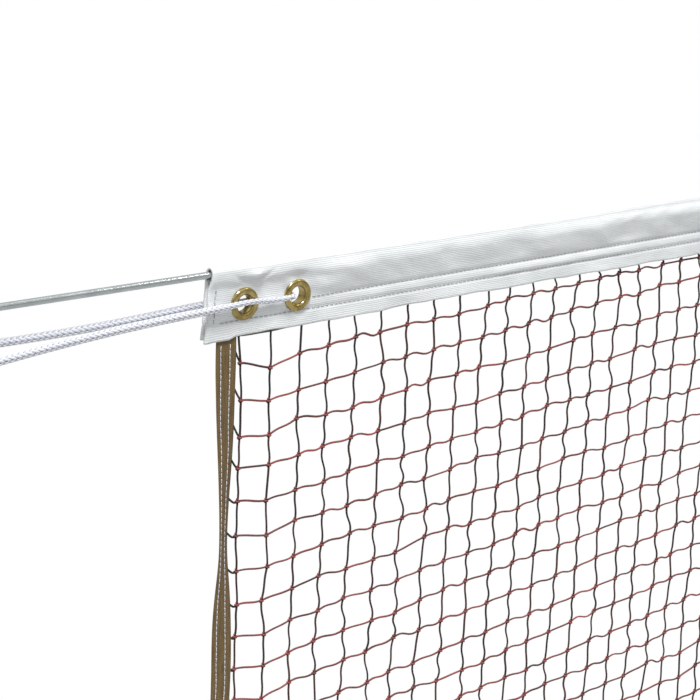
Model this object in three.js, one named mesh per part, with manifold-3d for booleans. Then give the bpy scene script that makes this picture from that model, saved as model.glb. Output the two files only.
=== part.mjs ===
// Badminton net: a white headband folded over a steel cable, knotted netting bound with
// brown tapes, brass grommets and a doubled tie rope at each end.
//
// Millimetres. +X runs along the net, +Z is up and -Y is the front. The origin lies inside
// the cable at mid-span, 2.8 below the headband's top edge. Fixed sizes are measured from
// there. Along X each end is laid out by its inward distance from the headband's end:
// positive is towards mid-span, and negative is outside the net.
import * as THREE from "three";
import { mergeVertices } from "three/addons/utils/BufferGeometryUtils.js";
import Module from "manifold-3d";

const wasm = await Module();
wasm.setup();

// ---- Driving dimensions -------------------------------------------------------------
const NET_LENGTH = 6100;
const HALF = NET_LENGTH / 2;
const NET_BOTTOM = -757; // the whole net hangs 760 deep from the top of the headband
const GAP = 0.3; // left between pieces that touch or are sewn together

const CABLE_RADIUS = 1.8;
const CABLE_Z = -0.9; // the cable's axis
const SLEEVE_Z = -0.7; // the middle of the fold that the cable runs freely in
const SLEEVE_INNER = CABLE_RADIUS + 0.7;
const SLEEVE_OUTER = SLEEVE_INNER + 1;
const SLEEVE_DIP = THREE.MathUtils.degToRad(20); // the fold's round part ends this far down
const BAND_TOP = SLEEVE_Z + SLEEVE_OUTER;
const BAND_HALF_THICKNESS = 1.6;
const BAND_SLOT = 0.35; // half the space between the two layers of tape
const BAND_SHOULDER = -9; // where the sleeve has narrowed to the flat band
const BAND_BOTTOM = -36;
const BAND_END_SLANT = 6; // the lower corner stands this far outside the upper one

const GROMMET_INWARD = [19, 53];
const GROMMET_Z = -18.3;
const GROMMET_HOLE = 4.75;
const GROMMET_BARREL = 5.25;
const GROMMET_RIM = 8.5;
const RIM_THICKNESS = 1.3;
const RIM_ROUNDING = 0.6;
const ROLL_WIDTH = 1.5; // the barrel's end is rolled outwards over the washer
const ROLL_HEIGHT = 0.8;
const WASHER_THICKNESS = 0.6;
const WASHER_BEVEL = 0.4;

const ROPE_RADIUS = 2.25;
const ROPE_FRONT_Y = 6.2; // strand centre, clear of the grommet rims
const ROPE_TURN_INWARD = 46.5; // where the strands leave the turn round the rim
const ROPE_END = -131; // the knots lie beyond this
const ROPE_AT_BAND_END_Z = -17.4;
const KNOT_RADIUS = 6.5;
const KNOT_LENGTH = 13;
const KNOT_BLUNTING = 0.04; // the share of its length flattened off each end
const ROPE_TAIL = 14;

const FERRULE_START = -132;
const FERRULE_LENGTH = 12;
const FERRULE_RADIUS = CABLE_RADIUS + 1.5;
const CABLE_PITCH = 2 * CABLE_RADIUS + 0.4; // main line to tail inside the ferrule
const FERRULE_INSET = 1; // the cable's tail and the tube's ends stop this far inside
const EYE_CENTRE = -165;
const EYE_RADIUS = 9.5; // of the cable's centre line round the thimble
const EYE_Z = CABLE_Z - CABLE_PITCH / 2;
const THIMBLE_HALF_THICKNESS = 3;
const THIMBLE_RADIUS = EYE_RADIUS + 0.4;
const THIMBLE_TIP = 17; // from the eye's centre to the point by the ferrule
const THIMBLE_HOLE = 6;

const TAPE_INWARD = 3;
const TAPE_WIDTH = 12;
const TAPE_HALF_THICKNESS = 1;
const TWINE = 1.4; // the netting is as thick as its twine
const NETTING_TOP = BAND_BOTTOM - 1.5; // the netting swings about this line

const THREAD = 0.5;
const THREAD_INSET = 1; // a tape's threads stop this far inside its ends
// The lower row runs under the grommets from the end hem, and the upper row starts past them.
const BAND_ROWS = {
  upper: { z: -19.7, start: GROMMET_INWARD[1] + GROMMET_RIM + 1 },
  lower: { z: -27.8, start: 4 },
};
const TAPE_ROWS = { outer: 2.4, inner: 7.4 }; // from the tape's outer edge

// ---- Materials ----------------------------------------------------------------------
const material = (color, roughness, metalness = 0) =>
  new THREE.MeshStandardMaterial({ color, roughness, metalness });
const whiteTape = material(0xe6e8ea, 0.6);
const brownTape = material(0x6b5b3e, 0.85);
const twine = material(0x5e2a24, 0.8);
const rope = material(0xe2e4ea, 0.7);
const whiteThread = material(0xd9d7d0, 0.7);
const brass = material(0xa88c4a, 0.3, 1);
const steel = material(0x9ba1a3, 0.35, 1);

// ---- Helpers ------------------------------------------------------------------------
const net = new THREE.Group();
const ends = [
  { name: "left", side: -1 },
  { name: "right", side: 1 },
];

/** The place along X at an inward distance from one end of the headband. */
const along = (side, inward) => side * (HALF - inward);

function add(name, geometry, surface, x = 0, y = 0, z = 0) {
  const mesh = new THREE.Mesh(geometry, surface);
  mesh.name = name;
  mesh.position.set(x, y, z);
  net.add(mesh);
  return mesh;
}

/** A box given by its low and high corners. */
function block(name, low, high, surface) {
  const size = high.map((h, i) => h - low[i]);
  const centre = high.map((h, i) => (h + low[i]) / 2);
  add(name, new THREE.BoxGeometry(...size), surface, ...centre);
}

/** Points along an arc, both ends included. */
function arc([centreX, centreY], radius, from, to, steps) {
  return Array.from({ length: steps + 1 }, (_, i) => {
    const angle = from + ((to - from) * i) / steps;
    return new THREE.Vector2(
      centreX + radius * Math.cos(angle),
      centreY + radius * Math.sin(angle),
    );
  });
}

/** Points round a whole circle, with none repeated. */
const circle = (radius, steps) => arc([0, 0], radius, 0, 2 * Math.PI, steps).slice(0, -1);

/** A closed tube of a round section along a curve. */
function tube(curve, radius, steps, sides = 10) {
  const section = new THREE.Shape(circle(radius, sides));
  return new THREE.ExtrudeGeometry(section, { extrudePath: curve, steps, bevelEnabled: false });
}

function toManifold(geometry) {
  const bare = geometry.clone();
  bare.deleteAttribute("normal");
  bare.deleteAttribute("uv");
  const merged = mergeVertices(bare, 1e-4);
  return new wasm.Manifold(
    new wasm.Mesh({
      numProp: 3,
      vertProperties: new Float32Array(merged.attributes.position.array),
      triVerts: new Uint32Array(merged.index.array),
    }),
  );
}

function fromManifold(solid) {
  const mesh = solid.getMesh();
  const geometry = new THREE.BufferGeometry();
  geometry.setAttribute("position", new THREE.BufferAttribute(mesh.vertProperties, 3));
  geometry.setIndex(new THREE.BufferAttribute(mesh.triVerts, 1));
  geometry.computeVertexNormals();
  return geometry;
}

/** A ring turned about the Y axis from a closed outline of [radius, y] points. */
function turnedAboutY(outline, segments) {
  const points = outline.map(([radius, y]) => new THREE.Vector2(radius, y));
  return new THREE.LatheGeometry([...points, points[0].clone()], segments);
}

// ---- Headband -----------------------------------------------------------------------
// The tape's section is a keyhole: a sleeve round the cable, open downwards between its
// two layers. Shape X is the net's Y, and shape Y is Z.
function bandSection() {
  const middle = [0, SLEEVE_Z];
  const dip = SLEEVE_DIP;
  return new THREE.Shape([
    new THREE.Vector2(BAND_HALF_THICKNESS, BAND_BOTTOM),
    new THREE.Vector2(BAND_HALF_THICKNESS, BAND_SHOULDER),
    ...arc(middle, SLEEVE_OUTER, -dip, Math.PI + dip, 16),
    new THREE.Vector2(-BAND_HALF_THICKNESS, BAND_SHOULDER),
    new THREE.Vector2(-BAND_HALF_THICKNESS, BAND_BOTTOM),
    new THREE.Vector2(-BAND_SLOT, BAND_BOTTOM),
    new THREE.Vector2(-BAND_SLOT, BAND_SHOULDER),
    ...arc(middle, SLEEVE_INNER, Math.PI + dip, -dip, 16),
    new THREE.Vector2(BAND_SLOT, BAND_SHOULDER),
    new THREE.Vector2(BAND_SLOT, BAND_BOTTOM),
  ]);
}

function headband() {
  const tape = new THREE.ExtrudeGeometry(bandSection(), {
    depth: NET_LENGTH,
    bevelEnabled: false,
  });
  // The extrusion runs along its own Z: stand it along X, with its Y up.
  tape.translate(0, 0, -HALF);
  tape.rotateX(Math.PI / 2);
  tape.rotateZ(Math.PI / 2);
  const position = tape.attributes.position;
  for (let i = 0; i < position.count; i++) {
    const depth = (BAND_TOP - position.getZ(i)) / (BAND_TOP - BAND_BOTTOM);
    const x = position.getX(i);
    position.setX(i, x + Math.sign(x) * BAND_END_SLANT * depth);
  }
  let solid = toManifold(tape);
  for (const { side } of ends) {
    for (const inward of GROMMET_INWARD) {
      const radius = GROMMET_BARREL + GAP;
      const punch = new THREE.CylinderGeometry(radius, radius, 4 * BAND_HALF_THICKNESS, 32);
      punch.translate(along(side, inward), 0, GROMMET_Z);
      solid = solid.subtract(toManifold(punch));
    }
  }
  return fromManifold(solid);
}

add("headband", headband(), whiteTape);

// Each row of lockstitch has a needle thread on the front and a bobbin thread on the back.
const bandThreads = { needle: -1, bobbin: 1 };
for (const [row, { z, start }] of Object.entries(BAND_ROWS)) {
  for (const [thread, facing] of Object.entries(bandThreads)) {
    const inner = facing * (BAND_HALF_THICKNESS + GAP);
    const outer = inner + facing * THREAD;
    block(
      `headband_${row}_${thread}_thread`,
      [along(-1, start), Math.min(inner, outer), z - THREAD / 2],
      [along(1, start), Math.max(inner, outer), z + THREAD / 2],
      whiteThread,
    );
  }
}

// ---- Grommets -----------------------------------------------------------------------
// The grommet's rim lies on the front. Its barrel passes through the band and is rolled
// over the washer on the back. The outline goes from the roll, out through the hole, over
// the rim and back along the barrel.
function grommet() {
  const face = -(BAND_HALF_THICKNESS + GAP);
  const crown = face - RIM_THICKNESS;
  const overWasher = BAND_HALF_THICKNESS + 2 * GAP + WASHER_THICKNESS;
  const rollEdge = GROMMET_BARREL + ROLL_WIDTH;
  return turnedAboutY(
    [
      [GROMMET_HOLE, overWasher + ROLL_HEIGHT / 2],
      [GROMMET_HOLE, crown + RIM_ROUNDING],
      [GROMMET_HOLE + RIM_ROUNDING, crown + RIM_ROUNDING / 6],
      [(GROMMET_HOLE + GROMMET_RIM) / 2, crown],
      [GROMMET_RIM - RIM_ROUNDING, crown + RIM_ROUNDING / 4],
      [GROMMET_RIM, crown + RIM_ROUNDING],
      [GROMMET_RIM, face],
      [GROMMET_BARREL, face],
      [GROMMET_BARREL, overWasher],
      [rollEdge, overWasher],
      [rollEdge, overWasher + ROLL_HEIGHT / 2],
      [(GROMMET_BARREL + rollEdge) / 2, overWasher + ROLL_HEIGHT],
    ],
    32,
  );
}

function washer() {
  const face = BAND_HALF_THICKNESS + GAP;
  const back = face + WASHER_THICKNESS;
  const inner = GROMMET_BARREL + GAP;
  return turnedAboutY(
    [
      [inner, face],
      [GROMMET_RIM, face],
      [GROMMET_RIM, back - WASHER_BEVEL],
      [GROMMET_RIM - WASHER_BEVEL, back],
      [inner, back],
    ],
    32,
  );
}

for (const { name, side } of ends) {
  GROMMET_INWARD.forEach((inward, i) => {
    const place = ["outer", "inner"][i];
    add(`${name}_${place}_grommet`, grommet(), brass, along(side, inward), 0, GROMMET_Z);
    add(`${name}_${place}_washer`, washer(), brass, along(side, inward), 0, GROMMET_Z);
  });
}

// ---- Steel cable, ferrules and thimbles -----------------------------------------------
// The eye leaves the ferrule along two tangents to a circle round the thimble.
function eyePoints(side) {
  const mouth = FERRULE_START - FERRULE_LENGTH;
  const reach = mouth - EYE_CENTRE;
  const halfPitch = CABLE_PITCH / 2;
  const away = Math.hypot(reach, halfPitch);
  const touch = Math.acos(EYE_RADIUS / away) + Math.atan2(halfPitch, reach);
  const points = [];
  const turns = 14;
  for (let i = 0; i <= turns; i++) {
    const angle = touch + ((2 * Math.PI - 2 * touch) * i) / turns;
    const inward = EYE_CENTRE + EYE_RADIUS * Math.cos(angle);
    points.push(new THREE.Vector3(along(side, inward), 0, EYE_Z + EYE_RADIUS * Math.sin(angle)));
  }
  return points;
}

/** The cable's centre line, from its left tail round both eyes to its right tail. */
function cablePoints() {
  const line = [];
  for (const { side } of ends) {
    const start = along(side, FERRULE_START - FERRULE_INSET);
    const tail = new THREE.Vector3(start, 0, CABLE_Z - CABLE_PITCH);
    const tailMouth = tail.clone().setX(along(side, FERRULE_START - FERRULE_LENGTH));
    const main = tail.clone().setZ(CABLE_Z);
    const mainMouth = tailMouth.clone().setZ(CABLE_Z);
    const half = [tail, tailMouth, ...eyePoints(side).reverse(), mainMouth, main];
    line.push(...(side < 0 ? half : half.reverse()));
  }
  return line;
}

/** A closed tube that puts one ring on each corner of a polyline lying in the XZ plane. */
function tubeThrough(line, radius, sides) {
  const curve = new THREE.Curve();
  const last = line.length - 1;
  curve.getPoint = (t, target = new THREE.Vector3()) => {
    const at = Math.min(t * last, last);
    const i = Math.min(Math.floor(at + 1e-9), last - 1);
    return target.lerpVectors(line[i], line[i + 1], at - i);
  };
  curve.getPointAt = curve.getPoint;
  curve.getTangent = (t, target = new THREE.Vector3()) => {
    const i = Math.round(t * last);
    const before = line[Math.max(i - 1, 0)];
    const after = line[Math.min(i + 1, last)];
    const here = line[i];
    const arriving = here.clone().sub(before).normalize();
    const leaving = after.clone().sub(here).normalize();
    return target.addVectors(arriving, leaving).normalize();
  };
  curve.getTangentAt = curve.getTangent;
  return tube(curve, radius, last, sides);
}

const cableLine = cablePoints();
add("steel_cable", tubeThrough(cableLine, CABLE_RADIUS, 10), steel);

/** Two half circles of a radius, one round the cable's main line and one round its tail. */
function roundBothLines(radius) {
  return [
    ...arc([0, 0], radius, 0, Math.PI, 12),
    ...arc([0, -CABLE_PITCH], radius, Math.PI, 2 * Math.PI, 12),
  ];
}

function ferrule() {
  const section = new THREE.Shape(roundBothLines(FERRULE_RADIUS));
  section.holes.push(new THREE.Path(roundBothLines(CABLE_RADIUS + GAP)));
  const sleeve = new THREE.ExtrudeGeometry(section, {
    depth: FERRULE_LENGTH - 2 * FERRULE_INSET,
    bevelEnabled: false,
  });
  sleeve.translate(0, 0, FERRULE_INSET - FERRULE_LENGTH / 2);
  sleeve.rotateX(Math.PI / 2);
  sleeve.rotateZ(Math.PI / 2);
  return sleeve;
}

// A thimble is a plate that fills the eye, with a round hole and a groove for the cable.
function thimble(side) {
  const touch = Math.acos(THIMBLE_RADIUS / THIMBLE_TIP);
  const outline = new THREE.Shape([
    new THREE.Vector2(THIMBLE_TIP, 0),
    ...arc([0, 0], THIMBLE_RADIUS, touch, 2 * Math.PI - touch, 32),
  ]);
  outline.holes.push(new THREE.Path(circle(THIMBLE_HOLE, 36)));
  const plate = new THREE.ExtrudeGeometry(outline, {
    depth: 2 * THIMBLE_HALF_THICKNESS,
    bevelEnabled: false,
  });
  plate.translate(0, 0, -THIMBLE_HALF_THICKNESS);
  plate.rotateX(Math.PI / 2);
  if (side > 0) plate.rotateY(Math.PI);
  plate.translate(along(side, EYE_CENTRE), 0, EYE_Z);
  const pastFerruleStart = (point) => point.x * side > along(1, FERRULE_START - 2 * FERRULE_INSET);
  const groove = tubeThrough(cableLine.filter(pastFerruleStart), CABLE_RADIUS + GAP, 16);
  return fromManifold(toManifold(plate).subtract(toManifold(groove)));
}

for (const { name, side } of ends) {
  const middle = FERRULE_START - FERRULE_LENGTH / 2;
  add(`${name}_ferrule`, ferrule(), steel, along(side, middle), 0, CABLE_Z);
  add(`${name}_thimble`, thimble(side), steel);
}

// ---- Tie ropes ------------------------------------------------------------------------
// One rope is doubled through the inner grommet: a front strand, a turn round the grommet's
// rim and a back strand. Each strand ends in a stopper knot.
const STRANDS = {
  front: { facing: -1, endY: -8, endZ: -24.7 },
  back: { facing: 1, endY: 5, endZ: -19.5 },
};

function strandPoints(side, { facing, endY, endZ }) {
  const face = facing * ROPE_FRONT_Y;
  const onBand = [
    [ROPE_TURN_INWARD - GAP, GROMMET_Z],
    [36, GROMMET_Z - 0.1],
    [24, GROMMET_Z],
    [12, GROMMET_Z + 0.4],
    [0, ROPE_AT_BAND_END_Z],
  ].map(([inward, z]) => [inward, face, z]);
  const free = [-20, -40, -60, -80, -100, -116, ROPE_END].map((inward) => {
    const t = inward / ROPE_END;
    const y = THREE.MathUtils.lerp(face, endY, t * t);
    return [inward, y, THREE.MathUtils.lerp(ROPE_AT_BAND_END_Z, endZ, t)];
  });
  return [...onBand, ...free].map(
    ([inward, y, z]) => new THREE.Vector3(along(side, inward), y, z),
  );
}

/** A knot and its short tail, turned about the rope's own line. */
function stopperKnot() {
  const profile = [new THREE.Vector2(0, 0)];
  const rings = 10;
  for (let i = 0; i <= rings; i++) {
    const t = i / rings;
    const blunted = THREE.MathUtils.clamp(t, KNOT_BLUNTING, 1 - KNOT_BLUNTING);
    const swell = Math.sqrt(Math.sin(Math.PI * blunted));
    profile.push(new THREE.Vector2(Math.max(ROPE_RADIUS, KNOT_RADIUS * swell), KNOT_LENGTH * t));
  }
  profile.push(new THREE.Vector2(ROPE_RADIUS, KNOT_LENGTH + ROPE_TAIL));
  profile.push(new THREE.Vector2(0, KNOT_LENGTH + ROPE_TAIL));
  return new THREE.LatheGeometry(profile, 20);
}

for (const { name, side } of ends) {
  for (const [strand, spec] of Object.entries(STRANDS)) {
    const curve = new THREE.CatmullRomCurve3(strandPoints(side, spec));
    add(`${name}_rope_${strand}`, tube(curve, ROPE_RADIUS, 30), rope);
    const knot = add(`${name}_${strand}_knot`, stopperKnot(), rope);
    knot.position.set(along(side, ROPE_END - GAP), spec.endY, spec.endZ);
    knot.rotation.z = side < 0 ? Math.PI / 2 : -Math.PI / 2;
  }
  const turn = [];
  const steps = 12;
  for (let i = 0; i <= steps; i++) {
    const angle = -Math.PI / 2 + (Math.PI * i) / steps;
    const inward = ROPE_TURN_INWARD + ROPE_FRONT_Y * Math.cos(angle);
    const y = ROPE_FRONT_Y * Math.sin(angle);
    turn.push(new THREE.Vector3(along(side, inward), y, GROMMET_Z));
  }
  const bend = new THREE.CatmullRomCurve3(turn);
  add(`${name}_rope_turn`, tube(bend, ROPE_RADIUS, 16), rope);
}

// ---- Netting and its tapes --------------------------------------------------------------
const tapeInner = TAPE_INWARD + TAPE_WIDTH;
const bottomTapeTop = NET_BOTTOM + TAPE_WIDTH;
block(
  "netting",
  [along(-1, tapeInner + GAP), -TWINE / 2, bottomTapeTop + GAP],
  [along(1, tapeInner + GAP), TWINE / 2, NETTING_TOP],
  twine,
);

/** A box between two inward distances on one side of the net. */
function endBlock(name, side, [nearEnd, farEnd], [y0, y1], [z0, z1], surface) {
  const xs = [along(side, nearEnd), along(side, farEnd)].sort((a, b) => a - b);
  block(name, [xs[0], y0, z0], [xs[1], y1, z1], surface);
}

const threadFace = -(TAPE_HALF_THICKNESS + GAP);
for (const { name, side } of ends) {
  endBlock(
    `${name}_side_tape`,
    side,
    [TAPE_INWARD, tapeInner],
    [-TAPE_HALF_THICKNESS, TAPE_HALF_THICKNESS],
    [NET_BOTTOM, NETTING_TOP],
    brownTape,
  );
  for (const [row, offset] of Object.entries(TAPE_ROWS)) {
    const inward = TAPE_INWARD + offset;
    endBlock(
      `${name}_side_tape_${row}_thread`,
      side,
      [inward, inward + THREAD],
      [threadFace - THREAD, threadFace],
      [NET_BOTTOM + THREAD_INSET, NETTING_TOP - THREAD_INSET],
      whiteThread,
    );
  }
}

block(
  "bottom_tape",
  [along(-1, tapeInner + GAP), -TAPE_HALF_THICKNESS, NET_BOTTOM],
  [along(1, tapeInner + GAP), TAPE_HALF_THICKNESS, bottomTapeTop],
  brownTape,
);
for (const [row, offset] of Object.entries(TAPE_ROWS)) {
  const z = NET_BOTTOM + offset;
  block(
    `bottom_tape_${row}_thread`,
    [along(-1, tapeInner + THREAD_INSET), threadFace - THREAD, z],
    [along(1, tapeInner + THREAD_INSET), threadFace, z + THREAD],
    whiteThread,
  );
}

export default net;
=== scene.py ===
"""A badminton net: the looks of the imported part.

Metres, in the row frame. +X runs along the net, +Z is up and -Y is the front. The origin
lies inside the cable at mid-span. Each end is laid out by its inward distance from the
headband's end: positive is towards mid-span, and negative is outside the net.
"""

import math
from functools import partial

import bpy
import numpy as np
from mathutils import Matrix, Vector

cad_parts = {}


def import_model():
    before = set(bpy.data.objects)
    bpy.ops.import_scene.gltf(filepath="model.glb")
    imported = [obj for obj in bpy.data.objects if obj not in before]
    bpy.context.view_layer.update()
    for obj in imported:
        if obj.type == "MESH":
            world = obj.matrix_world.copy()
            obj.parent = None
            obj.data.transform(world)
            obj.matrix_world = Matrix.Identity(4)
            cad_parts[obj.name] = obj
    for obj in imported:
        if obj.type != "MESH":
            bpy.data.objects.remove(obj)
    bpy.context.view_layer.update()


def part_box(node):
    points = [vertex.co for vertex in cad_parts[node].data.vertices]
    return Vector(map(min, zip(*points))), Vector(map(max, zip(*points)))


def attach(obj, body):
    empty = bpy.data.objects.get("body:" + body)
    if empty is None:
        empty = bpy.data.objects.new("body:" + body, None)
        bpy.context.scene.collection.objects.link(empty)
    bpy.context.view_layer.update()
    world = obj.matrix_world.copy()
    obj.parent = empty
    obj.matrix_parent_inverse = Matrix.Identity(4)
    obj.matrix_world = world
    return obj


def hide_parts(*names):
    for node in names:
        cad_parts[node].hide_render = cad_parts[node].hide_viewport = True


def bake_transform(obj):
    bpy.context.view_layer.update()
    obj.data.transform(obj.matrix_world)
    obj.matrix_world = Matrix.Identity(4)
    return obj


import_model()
TAU = 2 * math.pi

# ---- Sizes ----------------------------------------------------------------------------
SIDES = {"left": -1, "right": 1}
END_SLANT = 0.006  # the headband's lower corners stand this far outside its upper ones
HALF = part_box("headband")[1].x - END_SLANT
BAND_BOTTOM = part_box("headband")[0].z
NET_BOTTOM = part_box("left_side_tape")[0].z
NET_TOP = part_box("left_side_tape")[1].z
GROMMET_Z = sum(c.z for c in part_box("left_outer_grommet")) / 2
GROMMETS = {
    place: HALF + sum(c.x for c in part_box(f"left_{place}_grommet")) / 2
    for place in ("outer", "inner")
}

CABLE_RADIUS = 0.0018
CABLE_Z = -0.0009
CABLE_PITCH = 0.004  # from the cable's main line to its tail in the ferrule
FERRULE_START = -0.132
FERRULE_LENGTH = 0.012
FERRULE_RADIUS = 0.0033
EYE_CENTRE = -0.165
EYE_RADIUS = 0.0095
EYE_Z = CABLE_Z - CABLE_PITCH / 2

ROPE_RADIUS = 0.00225
ROPE_END = -0.131
KNOT_LENGTH = 0.013
ROPE_TAIL = 0.014


def along(side, inward):
    """The place along X at an inward distance from one end of the headband."""
    return side * (HALF - inward)


def inward_of(x):
    return HALF - np.abs(x)


def smoothstep(low, high, value):
    t = np.clip((value - low) / (high - low), 0, 1)
    return t * t * (3 - 2 * t)


def mix(a, b, t):
    return a + (b - a) * t


def hill(value, centre, width):
    """A smooth bump of height one."""
    return np.exp(-(((value - centre) / width) ** 2))


def wander(x, wavelength, phase):
    """A slow wave without an obvious repeat, from about -1 to 1."""
    turn = TAU * x / wavelength
    return (
        0.5 * np.sin(turn + phase)
        + 0.3 * np.sin(1.73 * turn + 2.3 * phase)
        + 0.2 * np.sin(3.11 * turn + 4.1 * phase)
    )


# ---- Camera ---------------------------------------------------------------------------
CAMERA_FROM_BAND_END = (-0.51004, -0.70850, 0.21949)
CAMERA_YAW = 40.337  # from +Y towards +X, in degrees
CAMERA_PITCH = -16.423
CAMERA_ROLL = 2.446
CAMERA_LENS = 92.57
CAMERA_SENSOR = 36.0


def linked(name, data):
    """A new object in the scene."""
    made = bpy.data.objects.new(name, data)
    bpy.context.scene.collection.objects.link(made)
    return made


def camera():
    data = bpy.data.cameras.new("camera")
    data.lens = CAMERA_LENS
    data.sensor_width = CAMERA_SENSOR
    data.clip_start = 0.05
    data.clip_end = 200
    made = linked("camera", data)
    turn = (
        Matrix.Rotation(math.radians(-CAMERA_YAW), 4, "Z")
        @ Matrix.Rotation(math.radians(90 + CAMERA_PITCH), 4, "X")
        @ Matrix.Rotation(math.radians(CAMERA_ROLL), 4, "Z")
    )
    place = Vector((along(-1, 0), 0, 0)) + Vector(CAMERA_FROM_BAND_END)
    made.matrix_world = Matrix.Translation(place) @ turn
    bpy.context.scene.camera = made


camera()


# ---- Mesh building --------------------------------------------------------------------
def mesh_object(name, points, quads, material, values=None):
    """An object of smooth quads. values holds a number for each point, by attribute name."""
    points = np.asarray(points, float).reshape(-1, 3)
    corners = [points[quads[:, k]] for k in range(4)]
    faces = np.cross(corners[2] - corners[0], corners[3] - corners[1])
    if (faces * corners[0]).sum() < 0:  # inside out
        quads = quads[:, ::-1]
    mesh = bpy.data.meshes.new(name)
    mesh.vertices.add(len(points))
    mesh.vertices.foreach_set("co", points.astype(np.float32).ravel())
    mesh.loops.add(quads.size)
    mesh.loops.foreach_set("vertex_index", np.ascontiguousarray(quads, np.int32).ravel())
    mesh.polygons.add(len(quads))
    mesh.polygons.foreach_set("loop_start", np.arange(0, quads.size, 4, dtype=np.int32))
    mesh.polygons.foreach_set("use_smooth", np.ones(len(quads), bool))
    mesh.update(calc_edges=True)
    for key, numbers in (values or {}).items():
        attribute = mesh.attributes.new(key, "FLOAT", "POINT")
        attribute.data.foreach_set("value", np.asarray(numbers, np.float32).ravel())
    mesh.materials.append(material)
    return linked(name, mesh)


def unit(vectors):
    return vectors / np.maximum(np.linalg.norm(vectors, axis=-1, keepdims=True), 1e-12)


def tube_quads(rings, sides):
    """The quads of one closed tube. sides is even, so that quads close its ends too."""
    ring, side = np.meshgrid(np.arange(rings - 1), np.arange(sides), indexing="ij")
    here, beside = ring * sides + side, ring * sides + (side + 1) % sides
    wall = np.stack([here, beside, beside + sides, here + sides], -1).reshape(-1, 4)
    cap = np.array([(0, k + 2, k + 1, k) for k in range(1, sides - 2, 2)])
    return np.concatenate([wall, cap, cap[:, ::-1] + (rings - 1) * sides])


def ring_points(centres, across, outward, half_width, half_thickness, sides):
    """Points of an oval section round each centre."""
    angle = TAU * np.arange(sides) / sides
    width = np.asarray(half_width)[..., None, None] * np.cos(angle)[:, None]
    thickness = np.asarray(half_thickness)[..., None, None] * np.sin(angle)[:, None]
    return (
        centres[..., None, :]
        + width * across[..., None, :]
        + thickness * outward[..., None, :]
    )


def tubes(centres, radii, sides, reference):
    """Closed round tubes, as (points, quads). centres is tubes x rings x 3, and no tube
    runs along the reference direction."""
    tangent = unit(np.gradient(centres, axis=1))
    across = unit(np.cross(tangent, np.asarray(reference, float)))
    outward = np.cross(across, tangent)
    radii = np.broadcast_to(radii, centres.shape[:2])
    points = ring_points(centres, across, outward, radii, radii, sides)
    count, rings = centres.shape[:2]
    start = np.arange(count)[:, None, None] * rings * sides
    quads = (tube_quads(rings, sides)[None] + start).reshape(-1, 4)
    return points.reshape(-1, 3), quads


def joined(parts):
    """One (points, quads) from several."""
    points, quads, count = [], [], 0
    for part_points, part_quads in parts:
        points.append(part_points)
        quads.append(part_quads + count)
        count += len(part_points)
    return np.concatenate(points), np.concatenate(quads)


def turned(outline, centre, axis, segments):
    """A ring turned about an axis from a closed outline of (radius, height) points."""
    axis = Vector(axis).normalized()
    first = axis.orthogonal().normalized()
    second = axis.cross(first)
    angle = TAU * np.arange(segments) / segments
    spoke = np.cos(angle)[:, None] * np.array(first) + np.sin(angle)[:, None] * np.array(second)
    outline = np.asarray(outline, float)
    points = (
        np.array(centre, float)
        + spoke[:, None, :] * outline[None, :, 0, None]
        + np.array(axis) * outline[None, :, 1, None]
    )
    steps = len(outline)
    turn, step = np.meshgrid(np.arange(segments), np.arange(steps), indexing="ij")
    after, beside = (turn + 1) % segments, (step + 1) % steps
    quads = np.stack(
        [turn * steps + step, turn * steps + beside, after * steps + beside, after * steps + step],
        -1,
    )
    return points.reshape(-1, 3), quads.reshape(-1, 4)


def thick_grid(grid, thickness, kept=None):
    """A cloth about a grid of points, as (points, quads, used). thickness is one number or
    one for each column. Quads that aren't kept leave holes with walls, and used says which
    grid points remain."""
    rows, columns = grid.shape[:2]
    normal = unit(np.cross(np.gradient(grid, axis=0), np.gradient(grid, axis=1)))
    row, column = np.meshgrid(np.arange(rows - 1), np.arange(columns - 1), indexing="ij")
    here = row * columns + column
    quads = np.stack([here, here + 1, here + columns + 1, here + columns], -1)
    quads = quads.reshape(-1, 4) if kept is None else quads[kept]
    used, quads = np.unique(quads, return_inverse=True)
    quads = quads.reshape(-1, 4)
    count = len(used)
    edges = np.concatenate([quads[:, [k, (k + 1) % 4]] for k in range(4)])
    codes = edges[:, 0] * count + edges[:, 1]
    backward = edges[:, 1] * count + edges[:, 0]
    rim = edges[~np.isin(codes, backward)]
    walls = np.stack([rim[:, 1], rim[:, 0], rim[:, 0] + count, rim[:, 1] + count], -1)
    normal = normal * np.broadcast_to(thickness, columns)[:, None] / 2
    middle, shift = grid.reshape(-1, 3)[used], normal.reshape(-1, 3)[used]
    points = np.concatenate([middle + shift, middle - shift])
    return points, np.concatenate([quads, quads[:, ::-1] + count, walls]), used


def smooth_line(points, step):
    """A Catmull-Rom curve through points, with a point about every step."""
    points = np.asarray(points, float)
    padded = np.concatenate(
        [2 * points[:1] - points[1:2], points, 2 * points[-1:] - points[-2:-1]]
    )
    t = np.linspace(0, 1, 24, endpoint=False)[:, None]
    fine = []
    for a, b, c, d in zip(padded, padded[1:], padded[2:], padded[3:]):
        bend = 2 * a - 5 * b + 4 * c - d
        twist = 3 * b - a - 3 * c + d
        fine.append(b + 0.5 * ((c - a) * t + bend * t**2 + twist * t**3))
    return evenly(np.concatenate([*fine, points[-1:]]), step)


def distance_along(line):
    return np.concatenate([[0], np.cumsum(np.linalg.norm(np.diff(line, axis=0), axis=1))])


def evenly(line, step):
    """The same line with its points an even distance apart."""
    far = distance_along(line)
    at = np.linspace(0, far[-1], max(2, math.ceil(far[-1] / step) + 1))
    return np.stack([np.interp(at, far, line[:, k]) for k in range(3)], 1)


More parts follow.
